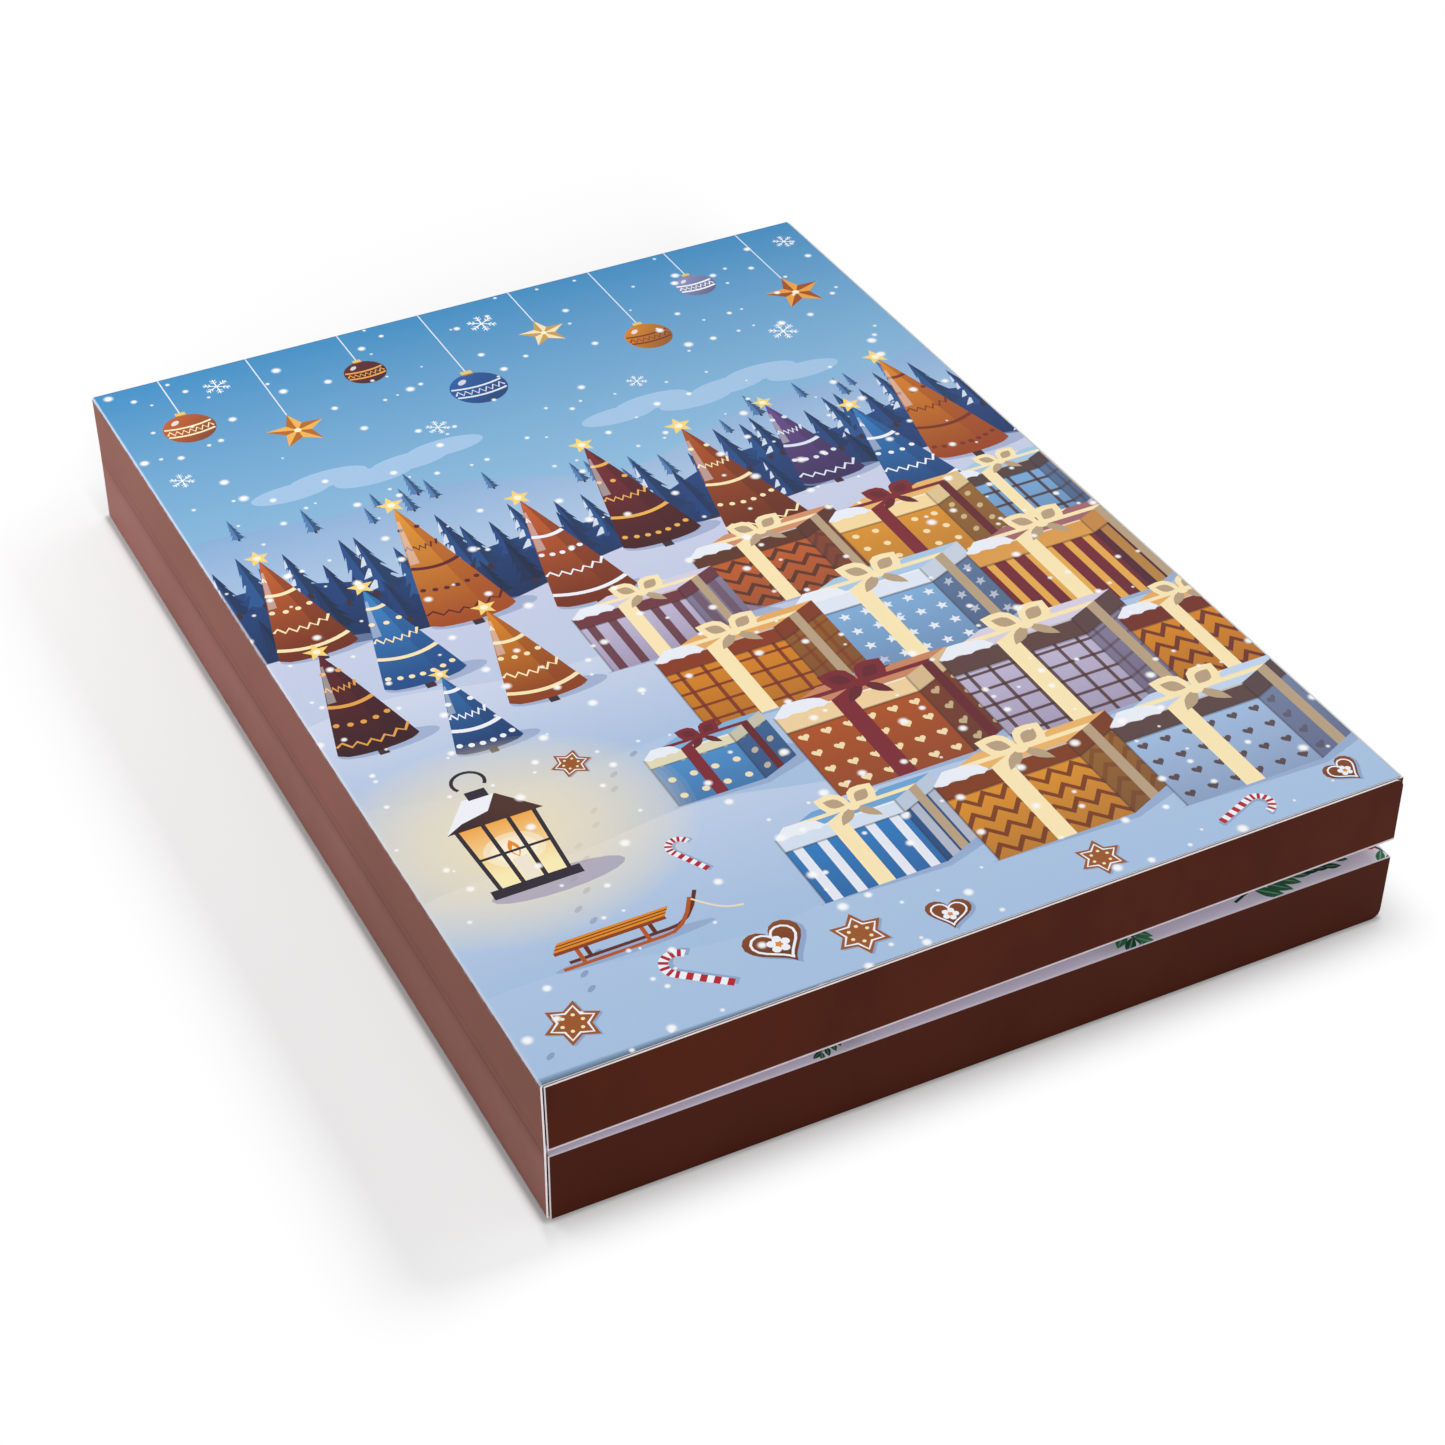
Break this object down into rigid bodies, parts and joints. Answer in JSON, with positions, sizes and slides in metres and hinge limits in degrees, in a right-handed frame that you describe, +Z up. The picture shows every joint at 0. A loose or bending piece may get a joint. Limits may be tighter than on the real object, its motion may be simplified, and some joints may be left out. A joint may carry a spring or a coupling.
{
  "type": "gingerbread advent calendar",
  "caption": "Book-style advent calendar: flat cartons in a creased printed wrap that opens at the spine, with scored doors over gingerbreads in formed pockets.",
  "frame": {"origin": "middle of the back cover's outer face, which is the face the closed book lies on", "axes": "+Z up out of the lying book, +Y along the spine towards the calendar's top end, +X from the spine to the opening edge"},
  "size_m": [0.255, 0.3514, 0.0502],
  "materials": {
    "cover_print": "satin",
    "back_print": "satin",
    "carton_board": "satin",
    "face_print": "satin",
    "door_print": "satin",
    "insert_film": "gloss",
    "gingerbread": "matte"
  },
  "bodies": {
    "lower_half": {"back_cover": "back_print", "lower_tray": "carton_board", "lower_face": "face_print", "lower_insert": "insert_film", "gingerbread_14": "gingerbread", "gingerbread_03": "gingerbread", "gingerbread_22": "gingerbread", "gingerbread_08": "gingerbread", "gingerbread_19": "gingerbread", "gingerbread_11": "gingerbread", "gingerbread_01": "gingerbread", "gingerbread_24": "gingerbread", "gingerbread_16": "gingerbread", "gingerbread_20": "gingerbread", "gingerbread_06": "gingerbread", "gingerbread_13": "gingerbread"},
    "upper_half": {"front_cover": "cover_print", "upper_tray": "carton_board", "upper_face": "face_print", "upper_insert": "insert_film", "gingerbread_09": "gingerbread", "gingerbread_23": "gingerbread", "gingerbread_05": "gingerbread", "gingerbread_17": "gingerbread", "gingerbread_02": "gingerbread", "gingerbread_12": "gingerbread", "gingerbread_21": "gingerbread", "gingerbread_10": "gingerbread", "gingerbread_07": "gingerbread", "gingerbread_04": "gingerbread", "gingerbread_15": "gingerbread", "gingerbread_18": "gingerbread"},
    "door_14": {"door_14": "door_print"},
    "door_03": {"door_03": "door_print"},
    "door_22": {"door_22": "door_print"},
    "door_08": {"door_08": "door_print"},
    "door_19": {"door_19": "door_print"},
    "door_11": {"door_11": "door_print"},
    "door_01": {"door_01": "door_print"},
    "door_24": {"door_24": "door_print"},
    "door_16": {"door_16": "door_print"},
    "door_20": {"door_20": "door_print"},
    "door_06": {"door_06": "door_print"},
    "door_13": {"door_13": "door_print"},
    "door_09": {"door_09": "door_print"},
    "door_23": {"door_23": "door_print"},
    "door_05": {"door_05": "door_print"},
    "door_17": {"door_17": "door_print"},
    "door_02": {"door_02": "door_print"},
    "door_12": {"door_12": "door_print"},
    "door_21": {"door_21": "door_print"},
    "door_10": {"door_10": "door_print"},
    "door_07": {"door_07": "door_print"},
    "door_04": {"door_04": "door_print"},
    "door_15": {"door_15": "door_print"},
    "door_18": {"door_18": "door_print"}
  },
  "joints": [
    {"name": "book_hinge", "type": "hinge", "parent": "lower_half", "child": "upper_half", "pos_m": [-0.1269, 0, 0.023], "axis": [0, -1, 0], "range_deg": [0, 179.05]},
    {"name": "door_14_hinge", "type": "hinge", "parent": "lower_half", "child": "door_14", "pos_m": [-0.1125, -0.12652, 0.022], "axis": [0, -1, 0], "range_deg": [0, 90]},
    {"name": "door_03_hinge", "type": "hinge", "parent": "lower_half", "child": "door_03", "pos_m": [-0.032, -0.12652, 0.022], "axis": [0, -1, 0], "range_deg": [0, 90]},
    {"name": "door_22_hinge", "type": "hinge", "parent": "lower_half", "child": "door_22", "pos_m": [0.0485, -0.12652, 0.022], "axis": [0, -1, 0], "range_deg": [0, 90]},
    {"name": "door_08_hinge", "type": "hinge", "parent": "lower_half", "child": "door_08", "pos_m": [-0.1125, -0.04217, 0.022], "axis": [0, -1, 0], "range_deg": [0, 90]},
    {"name": "door_19_hinge", "type": "hinge", "parent": "lower_half", "child": "door_19", "pos_m": [-0.032, -0.04217, 0.022], "axis": [0, -1, 0], "range_deg": [0, 90]},
    {"name": "door_11_hinge", "type": "hinge", "parent": "lower_half", "child": "door_11", "pos_m": [0.0485, -0.04217, 0.022], "axis": [0, -1, 0], "range_deg": [0, 90]},
    {"name": "door_01_hinge", "type": "hinge", "parent": "lower_half", "child": "door_01", "pos_m": [-0.1125, 0.04217, 0.022], "axis": [0, -1, 0], "range_deg": [0, 90]},
    {"name": "door_24_hinge", "type": "hinge", "parent": "lower_half", "child": "door_24", "pos_m": [-0.032, 0.04217, 0.022], "axis": [0, -1, 0], "range_deg": [0, 90]},
    {"name": "door_16_hinge", "type": "hinge", "parent": "lower_half", "child": "door_16", "pos_m": [0.0485, 0.04217, 0.022], "axis": [0, -1, 0], "range_deg": [0, 90]},
    {"name": "door_20_hinge", "type": "hinge", "parent": "lower_half", "child": "door_20", "pos_m": [-0.1125, 0.12652, 0.022], "axis": [0, -1, 0], "range_deg": [0, 90]},
    {"name": "door_06_hinge", "type": "hinge", "parent": "lower_half", "child": "door_06", "pos_m": [-0.032, 0.12652, 0.022], "axis": [0, -1, 0], "range_deg": [0, 90]},
    {"name": "door_13_hinge", "type": "hinge", "parent": "lower_half", "child": "door_13", "pos_m": [0.0485, 0.12652, 0.022], "axis": [0, -1, 0], "range_deg": [0, 90]},
    {"name": "door_09_hinge", "type": "hinge", "parent": "upper_half", "child": "door_09", "pos_m": [-0.11252, -0.12652, 0.02424], "axis": [0, 1, 0], "range_deg": [0, 90]},
    {"name": "door_23_hinge", "type": "hinge", "parent": "upper_half", "child": "door_23", "pos_m": [-0.03203, -0.12652, 0.02557], "axis": [0, 1, 0], "range_deg": [0, 90]},
    {"name": "door_05_hinge", "type": "hinge", "parent": "upper_half", "child": "door_05", "pos_m": [0.04846, -0.12652, 0.02691], "axis": [0, 1, 0], "range_deg": [0, 90]},
    {"name": "door_17_hinge", "type": "hinge", "parent": "upper_half", "child": "door_17", "pos_m": [-0.11252, -0.04217, 0.02424], "axis": [0, 1, 0], "range_deg": [0, 90]},
    {"name": "door_02_hinge", "type": "hinge", "parent": "upper_half", "child": "door_02", "pos_m": [-0.03203, -0.04217, 0.02557], "axis": [0, 1, 0], "range_deg": [0, 90]},
    {"name": "door_12_hinge", "type": "hinge", "parent": "upper_half", "child": "door_12", "pos_m": [0.04846, -0.04217, 0.02691], "axis": [0, 1, 0], "range_deg": [0, 90]},
    {"name": "door_21_hinge", "type": "hinge", "parent": "upper_half", "child": "door_21", "pos_m": [-0.11252, 0.04217, 0.02424], "axis": [0, 1, 0], "range_deg": [0, 90]},
    {"name": "door_10_hinge", "type": "hinge", "parent": "upper_half", "child": "door_10", "pos_m": [-0.03203, 0.04217, 0.02557], "axis": [0, 1, 0], "range_deg": [0, 90]},
    {"name": "door_07_hinge", "type": "hinge", "parent": "upper_half", "child": "door_07", "pos_m": [0.04846, 0.04217, 0.02691], "axis": [0, 1, 0], "range_deg": [0, 90]},
    {"name": "door_04_hinge", "type": "hinge", "parent": "upper_half", "child": "door_04", "pos_m": [-0.11252, 0.12652, 0.02424], "axis": [0, 1, 0], "range_deg": [0, 90]},
    {"name": "door_15_hinge", "type": "hinge", "parent": "upper_half", "child": "door_15", "pos_m": [-0.03203, 0.12652, 0.02557], "axis": [0, 1, 0], "range_deg": [0, 90]},
    {"name": "door_18_hinge", "type": "hinge", "parent": "upper_half", "child": "door_18", "pos_m": [0.04846, 0.12652, 0.02691], "axis": [0, 1, 0], "range_deg": [0, 90]}
  ],
  "couplings": [
    {"joint": "door_14_hinge", "follows": "book_hinge", "ratio": 0.5},
    {"joint": "door_03_hinge", "follows": "book_hinge", "ratio": 0.5},
    {"joint": "door_22_hinge", "follows": "book_hinge", "ratio": 0.5},
    {"joint": "door_08_hinge", "follows": "book_hinge", "ratio": 0.5},
    {"joint": "door_19_hinge", "follows": "book_hinge", "ratio": 0.5},
    {"joint": "door_11_hinge", "follows": "book_hinge", "ratio": 0.5},
    {"joint": "door_01_hinge", "follows": "book_hinge", "ratio": 0.5},
    {"joint": "door_24_hinge", "follows": "book_hinge", "ratio": 0.5},
    {"joint": "door_16_hinge", "follows": "book_hinge", "ratio": 0.5},
    {"joint": "door_20_hinge", "follows": "book_hinge", "ratio": 0.5},
    {"joint": "door_06_hinge", "follows": "book_hinge", "ratio": 0.5},
    {"joint": "door_13_hinge", "follows": "book_hinge", "ratio": 0.5},
    {"joint": "door_09_hinge", "follows": "book_hinge", "ratio": 0.5},
    {"joint": "door_23_hinge", "follows": "book_hinge", "ratio": 0.5},
    {"joint": "door_05_hinge", "follows": "book_hinge", "ratio": 0.5},
    {"joint": "door_17_hinge", "follows": "book_hinge", "ratio": 0.5},
    {"joint": "door_02_hinge", "follows": "book_hinge", "ratio": 0.5},
    {"joint": "door_12_hinge", "follows": "book_hinge", "ratio": 0.5},
    {"joint": "door_21_hinge", "follows": "book_hinge", "ratio": 0.5},
    {"joint": "door_10_hinge", "follows": "book_hinge", "ratio": 0.5},
    {"joint": "door_07_hinge", "follows": "book_hinge", "ratio": 0.5},
    {"joint": "door_04_hinge", "follows": "book_hinge", "ratio": 0.5},
    {"joint": "door_15_hinge", "follows": "book_hinge", "ratio": 0.5},
    {"joint": "door_18_hinge", "follows": "book_hinge", "ratio": 0.5}
  ]
}
